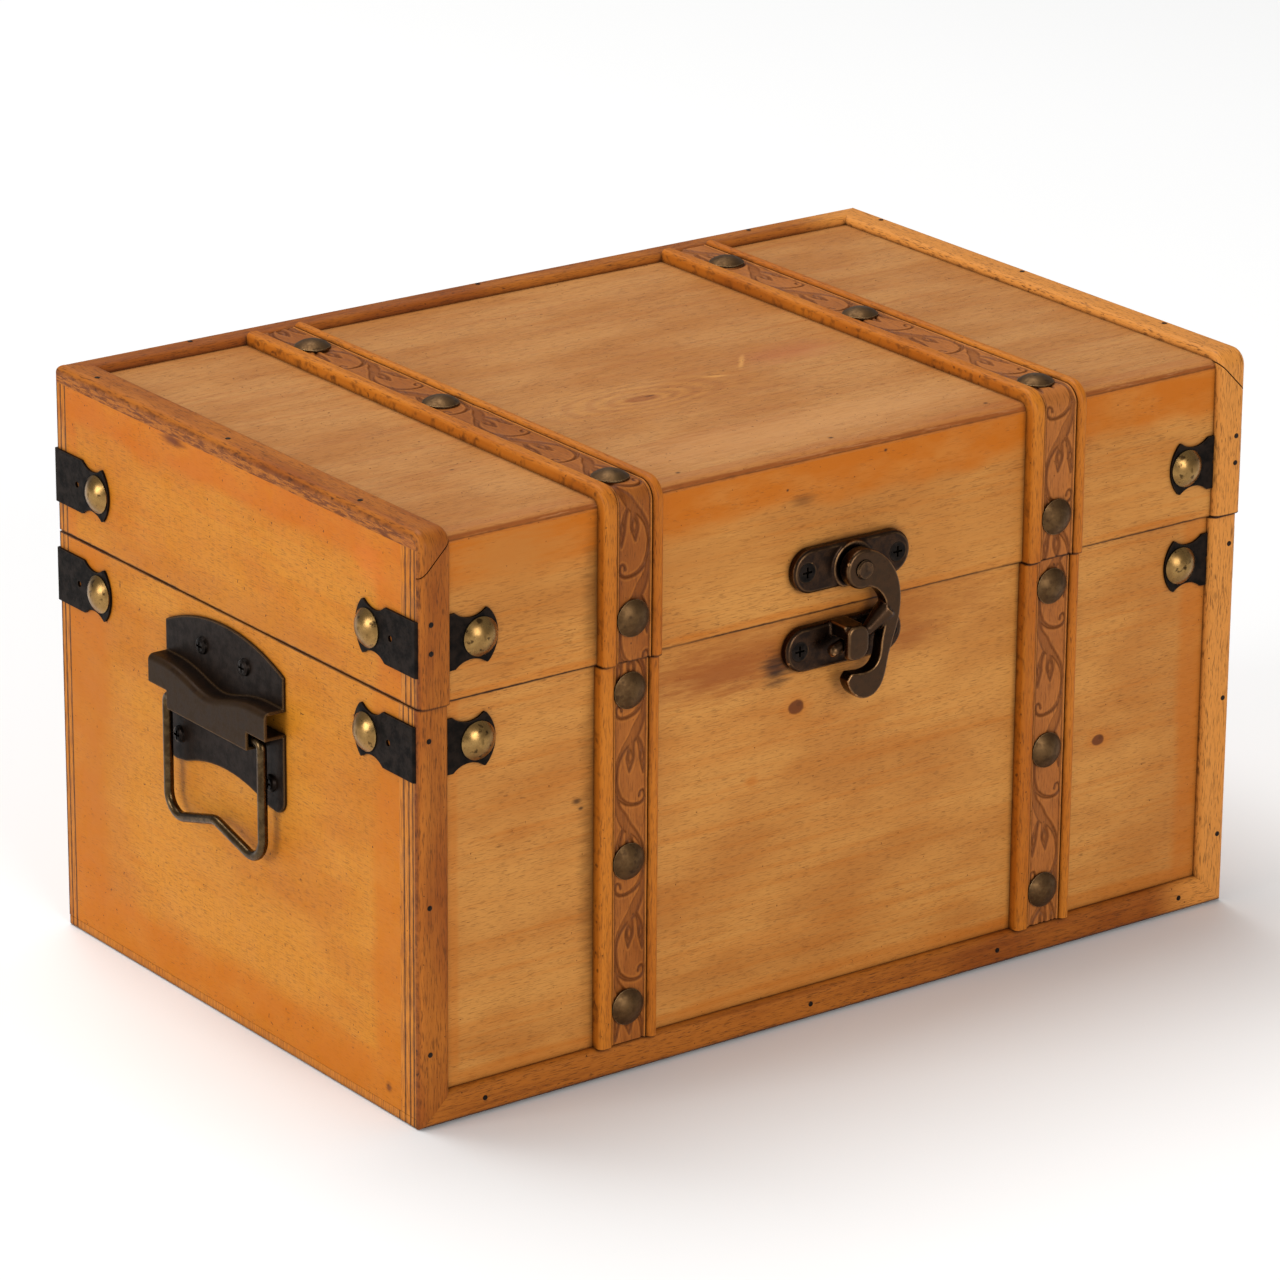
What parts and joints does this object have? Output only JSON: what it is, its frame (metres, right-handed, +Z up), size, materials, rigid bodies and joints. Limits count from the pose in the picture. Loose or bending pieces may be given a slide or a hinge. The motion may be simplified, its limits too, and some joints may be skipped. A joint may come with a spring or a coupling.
{
  "type": "wooden chest",
  "caption": "Small wooden storage chest with a hinged lid, nailed trims and carved straps, corner brackets, a swinging hook latch and a drop handle on each end.",
  "frame": {"origin": "centre of the underside of the box, on the plane it rests on", "axes": "+X along the chest to the right seen from the front, +Y from the front to the back (the latch faces -Y), +Z up"},
  "size_m": [0.3146, 0.203, 0.1812],
  "materials": {
    "bail_steel": "dark antique brass wire",
    "band_wood": "red-brown stained band with carved vine",
    "bracket_steel": "thin blackened sheet steel",
    "end_wood": "orange-stained plywood, satin varnish",
    "handle_steel": "blackened pressed steel, brassy where worn",
    "hinge_steel": "antique brass plated",
    "latch_bronze": "dark antique bronze with worn edges",
    "nail_brass": "aged bright brass with dark spots",
    "panel_pins": "dark wire pins",
    "panel_wood": "honey-stained plywood, satin varnish",
    "screw_steel": "dark cross-head screws",
    "strap_wood": "red-brown stained moulding",
    "tack_brass": "dark antique brass",
    "top_wood": "pale tan stained plywood, satin varnish",
    "trim_wood": "red-brown stained moulding, worn edges"
  },
  "bodies": {
    "chest": {"base_trim": "trim_wood", "body_back_panel": "panel_wood", "body_band_left": "band_wood", "body_band_right": "band_wood", "body_bracket_back_left": "bracket_steel", "body_bracket_back_right": "bracket_steel", "body_bracket_front_left": "bracket_steel", "body_bracket_front_right": "bracket_steel", "body_bracket_nails": "nail_brass", "body_corner_trim_left": "trim_wood", "body_corner_trim_right": "trim_wood", "body_end_panel_left": "end_wood", "body_end_panel_right": "end_wood", "body_front_panel": "panel_wood", "body_strap_left": "strap_wood", "body_strap_right": "strap_wood", "body_strap_tacks": "tack_brass", "body_trim_pins": "panel_pins", "bottom_panel": "panel_wood", "handle_plate_left": "handle_steel", "handle_plate_right": "handle_steel", "handle_screws_left": "screw_steel", "handle_screws_right": "screw_steel", "hinge_body_leaf_left": "hinge_steel", "hinge_body_leaf_right": "hinge_steel", "hinge_body_screws": "hinge_steel", "hinge_pins": "hinge_steel", "latch_keeper": "latch_bronze", "latch_keeper_screws": "screw_steel"},
    "lid": {"hinge_lid_leaf_left": "hinge_steel", "hinge_lid_leaf_right": "hinge_steel", "hinge_lid_screws": "hinge_steel", "latch_plate": "latch_bronze", "latch_plate_screws": "screw_steel", "latch_rivet": "latch_bronze", "lid_back_panel": "panel_wood", "lid_band_left": "band_wood", "lid_band_right": "band_wood", "lid_bracket_back_left": "bracket_steel", "lid_bracket_back_right": "bracket_steel", "lid_bracket_front_left": "bracket_steel", "lid_bracket_front_right": "bracket_steel", "lid_bracket_nails": "nail_brass", "lid_corner_trim_left": "trim_wood", "lid_corner_trim_right": "trim_wood", "lid_end_panel_left": "end_wood", "lid_end_panel_right": "end_wood", "lid_front_panel": "panel_wood", "lid_strap_left": "strap_wood", "lid_strap_right": "strap_wood", "lid_strap_tacks": "tack_brass", "lid_top_panel": "top_wood", "lid_top_trim_back": "trim_wood", "lid_top_trim_left": "trim_wood", "lid_top_trim_right": "trim_wood", "lid_trim_pins": "panel_pins"},
    "latch_hook": {"latch_hook": "latch_bronze"},
    "handle_bail_left": {"handle_bail_left": "bail_steel"},
    "handle_bail_right": {"handle_bail_right": "bail_steel"}
  },
  "joints": [
    {"name": "lid_hinge", "type": "hinge", "parent": "chest", "child": "lid", "pos_m": [0, 0.09595, 0.1269], "axis": [-1, 0, 0], "range_deg": [0, 110]},
    {"name": "latch_swing", "type": "hinge", "parent": "lid", "child": "latch_hook", "pos_m": [0.0003, -0.1, 0.1403], "axis": [0, -1, 0], "range_deg": [0, 120]},
    {"name": "left_bail_swing", "type": "hinge", "parent": "chest", "child": "handle_bail_left", "pos_m": [-0.1545, 0.0024, 0.0956], "axis": [0, 1, 0], "range_deg": [0, 75]},
    {"name": "right_bail_swing", "type": "hinge", "parent": "chest", "child": "handle_bail_right", "pos_m": [0.1545, 0.0024, 0.0956], "axis": [0, -1, 0], "range_deg": [0, 75]}
  ]
}
